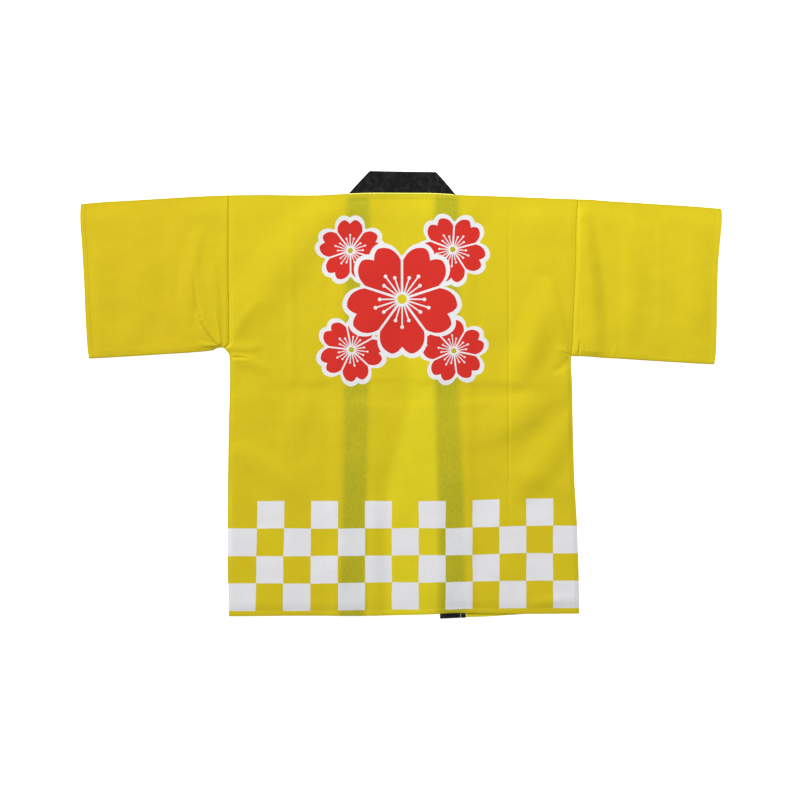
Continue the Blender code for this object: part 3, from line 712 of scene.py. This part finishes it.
def back_level(x, y):
    """Upper face of the back."""
    left, right = x - curve(SIDE_LEFT, y), curve(SIDE_RIGHT, y) - x
    from_side = np.minimum(left, right)
    from_top = curve(SHOULDER, x) - y
    from_hem = y - curve(BACK_HEM, x)
    rise = folded(BACK_FOLDS, x, y) + rumpled(x, y, 3, 110 * MM, 0.42 * MM) + LEAST_RISE
    rise += rumpled(x, y, 4, 34 * MM, 0.09 * MM)
    rise = above_flat(rise, SETTLING)
    rise *= smooth(from_side / SIDE_FADE) * smooth((from_top + 1 * MM) / TOP_FADE)
    rise *= 0.35 + 0.65 * smooth(from_hem / HEM_FADE)
    level = back_bed(x, y) + PANEL_LAYER + rise + turned_hem(from_hem)
    from_middle = outside((LEFT_RUN_ZONE[1], RIGHT_RUN_ZONE[0]), x)
    level -= HEM_DROOP * smooth(from_middle / (14 * MM)) * (1 - smooth(from_hem / DROOP_REACH))
    armhole = smooth((y - np.where(left < right, UNDERARM[-1], UNDERARM[1])) / SEAM_START)
    level -= armhole * SEAM_DEPTH * (1 - smooth(from_side / SEAM_GROOVE))
    level -= (1 - armhole) * rolled_edge(from_side)
    neck = 1 - smooth(outside(NECK_OPENING, x) / (12 * MM))
    level += neck * 0.75 * NECK_ROLL * smooth((NECK_ALLOWANCE - from_top) / (2.6 * MM))
    level += neck * NECK_ROLL * smooth((2.6 * MM - from_top) / (1.4 * MM))
    return level - rolled_edge(from_top) * (1 - 0.45 * neck)


def keep_with_cloth(sheet, name, values):
    """Stores a number for each point of the cloth, which its material reads."""
    kept = sheet.data.attributes.new(name, "FLOAT", "POINT")
    kept.data.foreach_set("value", values.astype(np.float32).ravel())


def make_back():
    down = finer(places(HEM_LEVEL, SHOULDER_LEVEL, BACK_STEP, NEAR_HEM, NEAR_TOP), *UNDERARM_ROWS)
    over = places(0.0, BACK_WIDTH, BACK_STEP, NEAR_SIDE, NEAR_SIDE)
    for columns in CREASE_COLUMNS:
        over = finer(over, *columns)
    share, y = np.meshgrid(over / BACK_WIDTH, down)
    shift = 0.0
    for _ in range(2):
        left, right = side_line(-1, y + shift), side_line(1, y + shift)
        x = left + share * (right - left)
        shift = end_shift(x, y, BACK_HEM)
    y = y + shift
    back = cloth_grid("back_cloth", x, y, back_level(x, y))
    from_left = np.where(y < UNDERARM[-1], x - curve(SIDE_LEFT, y), 1.0)
    from_ends = np.minimum(curve(SHOULDER, x) - y, y - curve(BACK_HEM, x))
    keep_with_cloth(back, "from_fold", np.minimum(from_ends, from_left))
    give_wall(back, -1.0)
    faces, top = wall_faces(back)
    inner = np.zeros(faces.shape[:2])
    inner[1 - top] = 1.0
    keep_with_cloth(back, "wrong_side", inner)
    return back


# Painted shade of the black collar showing through the thin cotton, on the yellow and on the white squares.
COLLAR_SHOW_THROUGH_SHADE = (0.65, 0.77, 1.35, 1.0)
COLLAR_SHADE_IN_WHITE = (0.93, 0.94, 0.94, 1.0)
# Painted shade on the strip of cloth over the collar band along the neck.
NECK_SHOW_THROUGH_SHADE = (0.92, 0.94, 1.0, 1.0)
# Painted highlight: a pale line where the folded neck edge catches the light.
NECK_FOLD_HIGHLIGHT = (0.92, 0.90, 0.15, 1.0)
# Painted shade: darker along the folded edges, where the cloth rounds away from the light.
FOLD_EDGE_SHADE = (0.82, 0.82, 0.92, 1.0)
# Painted light: the single layer between the collar's runs, lit through from the white table below.
SINGLE_LAYER_LIGHT = (1.075, 1.14, 1.20, 1.0)
PRINT_RED = (0.613, 0.0280, 0.0200, 1.0)
PRINT_LOSS = 0.22
SHADOW_SOFT = 8.5 * MM
LEFT_SHADOW_LEFT = [(352, -101.0), (-66, -106.2), (-196, -107.7), (-404, -115.0)]
LEFT_SHADOW_RIGHT = [(352, -57.8), (-66, -61.3), (-196, -64.1), (-404, -67.8)]
RIGHT_SHADOW_LEFT = [(352, 62.0), (-29, 63.1), (-103, 65.9), (-177, 69.6), (-404, 73.4)]
RIGHT_SHADOW_RIGHT = [(352, 107.3), (-29, 107.7), (-103, 112.4), (-177, 116.1), (-404, 120.5)]
WHITE_GROUND = 9 * MM
Blossom = namedtuple("Blossom", "x y radius turn")
BLOSSOMS = [
    Blossom(-94, 268, 58, 0.30), Blossom(96, 270, 62, 1.00), Blossom(-92, 84, 60, 0.75),
    Blossom(98, 82, 58, 0.20), Blossom(2, 178, 104, 0.94),
]


def profile(tree, value, rows):
    """A broken line through rows of place and value, both in millimetres."""
    course = rows[0][1] * MM
    for (start, first), (end, last) in zip(rows, rows[1:]):
        step = node(tree, "MapRange", value, start * MM, end * MM, 0.0, (last - first) * MM)[0]
        course = calc(tree, "ADD", step, course)
    return course


def print_blossom(tree, x, y, colour, cloth, bloom):
    """A five-petalled blossom on a white ground, with notched tips, stamens and an open middle."""
    radius = bloom.radius * MM
    across = calc(tree, "SUBTRACT", x, bloom.x * MM)
    up = calc(tree, "SUBTRACT", y, bloom.y * MM)
    reach = calc(tree, "SQRT", calc(tree, "MULTIPLY_ADD", across, across, calc(tree, "MULTIPLY", up, up)))
    angle = calc(tree, "ADD", calc(tree, "ARCTAN2", up, across), bloom.turn)
    petal = 2 * math.pi / 5
    off = calc(tree, "FLOORED_MODULO", angle, petal)
    off = calc(tree, "ABSOLUTE", calc(tree, "SUBTRACT", off, petal / 2))
    side = calc(tree, "POWER", calc(tree, "DIVIDE", off, petal / 2), 3.2)
    tip = calc(tree, "MULTIPLY_ADD", side, -0.36 * radius, radius)
    dip = calc(tree, "POWER", node(tree, "MapRange", off, 0.0, 0.20, 1.0, 0.0)[0], 1.6)
    edge = calc(tree, "MULTIPLY_ADD", dip, -0.15 * radius, tip)
    inside = calc(tree, "LESS_THAN", reach, edge)
    shallow = calc(tree, "POWER", node(tree, "MapRange", off, 0.0, 0.26, 1.0, 0.0)[0], 2.0)
    rim = calc(tree, "MULTIPLY_ADD", shallow, -0.10 * radius, tip)
    rim = calc(tree, "ADD", calc(tree, "MAXIMUM", rim, 0.7 * radius), WHITE_GROUND)
    ground = calc(tree, "LESS_THAN", reach, rim)
    gap = calc(tree, "MULTIPLY", reach, calc(tree, "SUBTRACT", petal / 2, off))
    parted = calc(tree, "GREATER_THAN", gap, 0.6 * MM + 0.015 * radius)
    beyond = calc(tree, "GREATER_THAN", reach, 0.13 * radius)
    red = calc(tree, "MULTIPLY", calc(tree, "MULTIPLY", inside, parted), beyond)
    stamens = None
    for lean, length in ((0.0, 0.50), (0.30, 0.40)):
        aside = calc(tree, "MULTIPLY", reach, calc(tree, "ABSOLUTE", calc(tree, "SUBTRACT", off, lean)))
        short = calc(tree, "LESS_THAN", reach, length * radius)
        stalk = calc(tree, "MULTIPLY", short, calc(tree, "LESS_THAN", aside, 0.3 * MM + 0.010 * radius))
        past = calc(tree, "SUBTRACT", reach, length * radius)
        spread = calc(tree, "MULTIPLY_ADD", past, past, calc(tree, "MULTIPLY", aside, aside))
        head = calc(tree, "LESS_THAN", spread, (0.032 * radius) ** 2)
        stamen = calc(tree, "MAXIMUM", stalk, head)
        stamens = stamen if stamens is None else calc(tree, "MAXIMUM", stamens, stamen)
    red = calc(tree, "MULTIPLY", red, calc(tree, "SUBTRACT", 1.0, stamens))
    colour = mix(tree, ground, colour, PRINT_WHITE)
    colour = mix(tree, red, colour, PRINT_RED)
    return mix(tree, calc(tree, "LESS_THAN", reach, 0.085 * radius), colour, cloth)


back_cotton, tree, shader, here, x, y, tone, bump = start_cotton("back_cotton", 0.88, 0.06)
# Painted shade: the collar's two runs show through the cloth as streaked bands with soft edges, fainter near
# the neck and where the cloth stands off the runs.
streaks = ramp(tree, stretched_noise(tree, here, (420.0, 150.0, 150.0), 5.0), 0.30, 0.70, 0.60, 1.10)
shadows = []
for left_edge, right_edge in ((LEFT_SHADOW_LEFT, LEFT_SHADOW_RIGHT), (RIGHT_SHADOW_LEFT, RIGHT_SHADOW_RIGHT)):
    from_left = calc(tree, "SUBTRACT", x, profile(tree, y, left_edge))
    from_right = calc(tree, "SUBTRACT", profile(tree, y, right_edge), x)
    shadows.append(ramp(tree, calc(tree, "MINIMUM", from_left, from_right), -SHADOW_SOFT, SHADOW_SOFT))
collar_shadow = calc(tree, "MULTIPLY", calc(tree, "ADD", *shadows), streaks)
collar_shadow = calc(tree, "MULTIPLY", collar_shadow, ramp(tree, y, 362 * MM, 369 * MM, 1.0, 0.45))
standing_off = ramp(tree, y, -190 * MM, -80 * MM, -0.08, 0.20)
standing_off = calc(tree, "MULTIPLY", ramp(tree, y, 40 * MM, -40 * MM), standing_off)
collar_shadow = calc(tree, "MULTIPLY", collar_shadow, calc(tree, "SUBTRACT", 1.0, standing_off))
beside_neck = between(tree, x, -96 * MM, 98 * MM, 3 * MM)
# Painted shade on the strip over the collar band beside the neck.
neck_shadow = calc(tree, "MULTIPLY", beside_neck, ramp(tree, y, 360 * MM, 366 * MM))
from_fold = node(tree, "Attribute", attribute_name="from_fold")[2]
# Painted highlight along the back's rolled neck edge, next to the collar.
neck_fold_highlight = calc(tree, "MULTIPLY", beside_neck, ramp(tree, from_fold, 2.6 * MM, 1.1 * MM))
neck_fold_highlight = calc(tree, "MULTIPLY", neck_fold_highlight, calc(tree, "GREATER_THAN", y, 0.0))
# Painted light: between the collar's runs the back is a single layer over the white table, painted lighter as
# if lit through from below, more so towards the hem and to the right of the sag line.
single_layer_light = between(tree, x, -60 * MM, 66 * MM, 6 * MM)
single_layer_light = calc(tree, "MULTIPLY", single_layer_light, ramp(tree, y, 372 * MM, -300 * MM, 0.35, 1.25))
from_sag = calc(tree, "SUBTRACT", x, profile(tree, y, SAG_LINE))
single_layer_light = calc(tree, "MULTIPLY", single_layer_light, ramp(tree, from_sag, -16 * MM, 4 * MM, 0.2, 1.0))
plain = mix(tree, collar_shadow, COTTON_YELLOW, COLLAR_SHOW_THROUGH_SHADE, "MULTIPLY")
plain = mix(tree, neck_shadow, plain, NECK_SHOW_THROUGH_SHADE, "MULTIPLY")
plain = mix(tree, single_layer_light, plain, SINGLE_LAYER_LIGHT, "MULTIPLY")
# Painted shade within about 3 mm of the back's upper edge, its hem and its left side.
plain = mix(tree, ramp(tree, from_fold, 3.1 * MM, 1.8 * MM), plain, FOLD_EDGE_SHADE, "MULTIPLY")
plain = mix(tree, neck_fold_highlight, plain, NECK_FOLD_HIGHLIGHT)
printed, squares = check_print(tree, here, x, y, plain)
# Painted shade of the collar's runs, fainter on the white squares.
printed = mix(tree, calc(tree, "MULTIPLY", squares, collar_shadow), printed, COLLAR_SHADE_IN_WHITE, "MULTIPLY")
for bloom in BLOSSOMS:
    printed = print_blossom(tree, x, y, printed, plain, bloom)
wrong_side = node(tree, "Attribute", attribute_name="wrong_side")[2]
printed = mix(tree, calc(tree, "MULTIPLY", wrong_side, PRINT_LOSS), printed, plain)
finish_cotton(tree, shader, printed, tone, bump)

back = make_back()
back.data.materials.append(back_cotton)
hem_ends = [curve(rows, HEM_LEVEL + HEM_DEPTH) for rows in (SIDE_LEFT, SIDE_RIGHT)]
hem_x = np.linspace(hem_ends[0] + 2 * MM, hem_ends[1] - 2 * MM, 400)
hem_y = curve(BACK_HEM, hem_x) + HEM_DEPTH
hem_line = np.stack([hem_x, hem_y, back_level(hem_x, hem_y) + 0.03 * MM], axis=1)
back_stitches = sew("back_hem_stitches", [hem_line], yellow_thread)
tack_y = np.linspace(-394.5 * MM, -405.2 * MM, 12)
tack_lines = [np.stack([x, tack_y, back_level(x, tack_y) + 0.05 * MM], axis=1)
              for x in (np.full_like(tack_y, 111.6 * MM), np.full_like(tack_y, 112.1 * MM))]
hem_tack = sew("hem_tack", tack_lines, white_thread)
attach(back, "root")
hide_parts("back_panel")
for stitches in (back_stitches, hem_tack):
    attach(stitches, "root")

# Sleeves.
# Each is a straight tube of the plain cotton, folded along its upper edge, seamed along the lower
# one, turned up at the cuff and sewn to the body round the armhole.
LEFT_SLEEVE = {
    "side": -1,
    "armhole": SIDE_LEFT,
    "top": [(-596, 354.4), (-569, 357.2), (-502, 361.4), (-436, 365.4), (-369, 369.2), (-320, 371.1)],
    "bottom": [(-579, 67.6), (-540, 69.6), (-502, 71.8), (-443, 75.5), (-383, 79.4), (-357, 82.0),
               (-346, 84.6), (-337, 87.8), (-330, 87.6), (-319, 87.0)],
    "cuff": [(354, -594.2), (341, -595.5), (324, -595.5), (287, -592.9), (250, -590.7), (213, -588.6),
             (175, -587.0), (138, -585.3), (101, -583.1), (83, -581.8), (68, -579.6)],
    "folds": [
        Fold(-352, 40, -384, 300, 6, 48, 44, 2.4),
        Fold(-322, 62, -384, 240, 19, 6, 5, -1.8),
        Fold(-316, 70, -377, 162, 11, 16, 13, 2.2),
        Fold(-316, 70, -377, 162, 11, 3, 3, -2.8),
        Fold(-332, 76, -346, 166, 0, 5, 5, 1.0),
        Fold(-348, 254, -337, 70, 2, 9, 22, 1.2),
        Fold(-370, 318, -400, 100, -6, 20, 30, 1.8),
        Fold(-338, 90, -378, 98, 2, 7, 7, 1.1),
        Fold(-342, 84, -366, 78, 2, 5, 5, 0.8),
        Fold(-424, 330, -430, 110, 6, 34, 30, 1.1),
        Fold(-556, 336, -550, 90, -8, 44, 36, 1.8),
        Fold(-480, 350, -492, 96, 10, 50, 50, 1.3),
    ],
}
RIGHT_SLEEVE = {
    "side": 1,
    "armhole": SIDE_RIGHT,
    "top": [(329, 363.6), (352, 363.0), (374, 361.0), (419, 358.2), (486, 353.9), (552, 349.7), (597, 345.9)],
    "bottom": [(317, 72.4), (335, 71.8), (352, 70.9), (374, 69.0), (397, 67.8), (441, 65.0), (508, 60.9),
               (575, 57.3), (584, 57.1)],
    "cuff": [(346, 594.8), (334, 596.1), (324, 595.9), (305, 594.4), (287, 592.6), (268, 590.8),
             (250, 589.3), (213, 587.6), (175, 586.7), (138, 586.4), (101, 585.4), (83, 584.9),
             (68, 583.6), (58, 581.8)],
    "folds": [
        Fold(326, 410, 366, 44, 2, 30, 44, 5.4),
        Fold(420, 346, 424, 80, 4, 34, 30, 1.6),
        Fold(326, 54, 331, 114, 0, 9, 9, 1.4),
        Fold(326, 58, 331, 104, -2, 3, 3, -2.1),
        Fold(337, 62, 338, 104, 0, 4, 4, 0.5),
        Fold(394, 66, 400, 96, 0, 6, 6, 0.8),
        Fold(481, 356, 481, 66, 0, 8, 12, 0.4),
        Fold(556, 336, 546, 76, -4, 40, 44, 1.4),
        Fold(438, 330, 430, 110, 6, 38, 38, 1.1),
        Fold(520, 180, 600, 90, 6, 30, 30, 1.2),
    ],
}
LEFT_SLEEVE_YELLOW = (0.632, 0.484, 0.0122, 1.0)
SLEEVE_STEP = 2.9 * MM
SLEEVE_LENGTH = 268 * MM
SLEEVE_HEIGHT = 280 * MM
NEAR_ARMHOLE = (0.3, 0.8, 1.5, 2.4, 3.4)
NEAR_SLEEVE_FOLD = (0.6, 1.6, 3.0)
NEAR_SLEEVE_SEAM = (1.0, 3.0, 5.2, 6.8, 7.6, 8.6)
ARMHOLE_COLUMNS = (4 * MM, 50 * MM, 1.5 * MM)
UNDERARM_RINGS = (210 * MM, 271 * MM, 1.5 * MM)
CUFF_SEAM_SHARE = 0.966
SLEEVE_RADIUS = PANEL_LAYER + SEAM / 2
SEAM_ALLOWANCE = 6.5 * MM
ARMHOLE_ALLOWANCE = 8.0 * MM


def sleeve_lines(sleeve, share):
    """The x of the ring at a height, and the heights of the ring's lower and upper edges."""
    side = sleeve["side"]

    def ring_x(y):
        armhole = curve(sleeve["armhole"], y) + side * SEAM
        return armhole + share * (curve(sleeve["cuff"], y) - armhole)

    lower_corner = curve(sleeve["bottom"], ring_x(70 * MM))
    low = curve(sleeve["bottom"], ring_x(lower_corner)) + SLEEVE_RADIUS
    high = curve(sleeve["top"], ring_x(360 * MM)) - SLEEVE_RADIUS
    return ring_x, low, high


def sleeve_level(sleeve, x, y, low, high):
    """Upper face of a sleeve."""
    side = sleeve["side"]
    from_armhole = np.abs(x - curve(sleeve["armhole"], y))
    from_cuff = np.abs(curve(sleeve["cuff"], y) - x)
    rise = folded(sleeve["folds"], x, y) + rumpled(x, y, 6 + side, 100 * MM, 0.45 * MM) + LEAST_RISE
    rise += rumpled(x, y, 9 + side, 32 * MM, 0.09 * MM)
    rise = above_flat(rise, SETTLING)
    rise *= smooth((y - low) / (9 * MM)) * smooth((high - y) / (36 * MM))
    rise *= smooth(from_armhole / (8 * MM)) * (0.45 + 0.55 * smooth(from_cuff / (26 * MM)))
    allowance = 0.42 * MM * smooth((low + SEAM_ALLOWANCE - y) / (1.6 * MM))
    allowance += 0.40 * MM * smooth((ARMHOLE_ALLOWANCE - from_armhole) / (1.8 * MM))
    level = 2 * SLEEVE_RADIUS + rise + allowance + turned_hem(from_cuff)
    return level - SEAM_DEPTH * (1 - smooth(from_armhole / SEAM_GROOVE))


def make_sleeve(name, sleeve):
    """Rings round the tube from the armhole to the cuff: the under side, the fold, the upper side
    and the seam."""
    outward = finer(places(0.0, SLEEVE_LENGTH, SLEEVE_STEP, NEAR_ARMHOLE, NEAR_HEM), *ARMHOLE_COLUMNS)
    ring_x, low, high = sleeve_lines(sleeve, outward[:, None] / SLEEVE_LENGTH)
    under = np.linspace(0.0, 1.0, 46)
    upper = places(0.0, SLEEVE_HEIGHT, SLEEVE_STEP, NEAR_SLEEVE_FOLD, NEAR_SLEEVE_SEAM)
    upper = finer(upper, *UNDERARM_RINGS) / SLEEVE_HEIGHT
    arc = np.linspace(-math.pi / 2, math.pi / 2, 9)[1:-1]
    y = np.concatenate([low + under * (high - low), high + SLEEVE_RADIUS * np.cos(arc),
                        high + upper * (low - high), low - SLEEVE_RADIUS * np.cos(arc),
                        low + under[:1] * (high - low)], axis=1)
    x = ring_x(y)
    z = np.zeros_like(y)
    top_from, top_to = len(under) + len(arc), len(under) + len(arc) + len(upper)
    z[:, top_from:top_to] = sleeve_level(sleeve, x, y, low, high)[:, top_from:top_to]
    height_at_fold, height_at_seam = z[:, top_from:top_from + 1], z[:, top_to - 1:top_to]
    z[:, len(under):top_from] = height_at_fold * (1 + np.sin(arc)) / 2
    z[:, top_to:-1] = height_at_seam * (1 - np.sin(arc)) / 2
    tube = cloth_grid(name, x, y, z)
    keep_with_cloth(tube, "from_fold", np.minimum(high - y, y - low) + SLEEVE_RADIUS)
    pick(tube)
    bpy.ops.object.mode_set(mode="EDIT")
    bpy.ops.mesh.select_all(action="SELECT")
    bpy.ops.mesh.remove_doubles(threshold=0.00001)
    bpy.ops.mesh.normals_make_consistent(inside=False)
    bpy.ops.object.mode_set(mode="OBJECT")
    give_wall(tube, -1.0)
    tube.data.materials.append(sleeve_cotton)
    return tube


def cuff_seams(sleeve):
    """Stitches of the cuff's hem, on the upper side and on the under side."""
    _, low, high = sleeve_lines(sleeve, np.array([CUFF_SEAM_SHARE]))
    y = low + 1 * MM + np.linspace(0.0, 1.0, 300) * (high - low - 2 * MM)
    x = curve(sleeve["cuff"], y) - sleeve["side"] * HEM_DEPTH
    above = np.stack([x, y, sleeve_level(sleeve, x, y, low, high) + 0.03 * MM], axis=1)
    below = np.stack([x, y, np.full_like(y, 0.12 * MM)], axis=1)
    return above, below


sleeve_cotton, tree, shader, here, x, y, tone, bump = start_cotton("sleeve_cotton", 0.88, 0.06)
warmer = ramp(tree, x, -300 * MM, -420 * MM)
plain = mix(tree, warmer, COTTON_YELLOW, LEFT_SLEEVE_YELLOW)
from_fold = node(tree, "Attribute", attribute_name="from_fold")[2]
# Painted shade within about 3 mm of the sleeve's upper fold and lower seam.
plain = mix(tree, ramp(tree, from_fold, 3.1 * MM, 1.8 * MM), plain, FOLD_EDGE_SHADE, "MULTIPLY")
finish_cotton(tree, shader, plain, tone, bump)
for name, sleeve in (("sleeve_left", LEFT_SLEEVE), ("sleeve_right", RIGHT_SLEEVE)):
    tube = make_sleeve(name + "_cloth", sleeve)
    above, below = cuff_seams(sleeve)
    cuff_stitches = sew(name + "_cuff_stitches", [above, below], yellow_thread)
    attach(tube, "root")
    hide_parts(name)
    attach(cuff_stitches, "root")

# Table and light.
# The coat lies on a plain white table top, lit by one large soft light from the upper left and by
# the pale room, and seen from straight above.
TABLE_DROP = 0.6 * MM
CAMERA_PLACE = (-1.86 * MM, -9.3 * MM, 6.19)

bpy.ops.object.select_all(action="DESELECT")
bpy.ops.mesh.primitive_plane_add(size=9.0, location=(0.0, 0.0, -TABLE_DROP))
table_top = bpy.context.object
table_top.name = "table_top"
table_white = bpy.data.materials.new("table_white")
table_white.use_nodes = True
shader = table_white.node_tree.nodes["Principled BSDF"]
shader.inputs["Base Color"].default_value = (0.95, 0.95, 0.95, 1.0)
shader.inputs["Roughness"].default_value = 0.9
shader.inputs["Emission Color"].default_value = (1.0, 1.0, 1.0, 1.0)
shader.inputs["Emission Strength"].default_value = 0.80
table_top.data.materials.append(table_white)

room = bpy.data.worlds.new("pale_room")
room.use_nodes = True
background = room.node_tree.nodes["Background"]
background.inputs["Color"].default_value = (1.0, 1.0, 1.0, 1.0)
background.inputs["Strength"].default_value = 0.235
bpy.context.scene.world = room


def soft_light(name, place, size, energy):
    bpy.ops.object.light_add(type="AREA", location=place)
    light = bpy.context.object
    light.name = name
    light.data.shape = "SQUARE"
    light.data.size = size
    light.data.energy = energy
    light.rotation_euler = Vector(place).to_track_quat("Z", "Y").to_euler()


soft_light("window_light", (-6.9, 5.1, 5.7), 2.4, 950.0)
soft_light("upper_lamp", (0.7, 1.9, 1.5), 0.8, 34.0)

bpy.ops.object.camera_add(location=CAMERA_PLACE, rotation=(0.0, 0.0, 0.0))
camera = bpy.context.object
camera.name = "camera"
camera.data.lens = 150.0
camera.data.sensor_width = 36.0
bpy.context.scene.camera = camera
bpy.context.scene.view_settings.view_transform = "Standard"
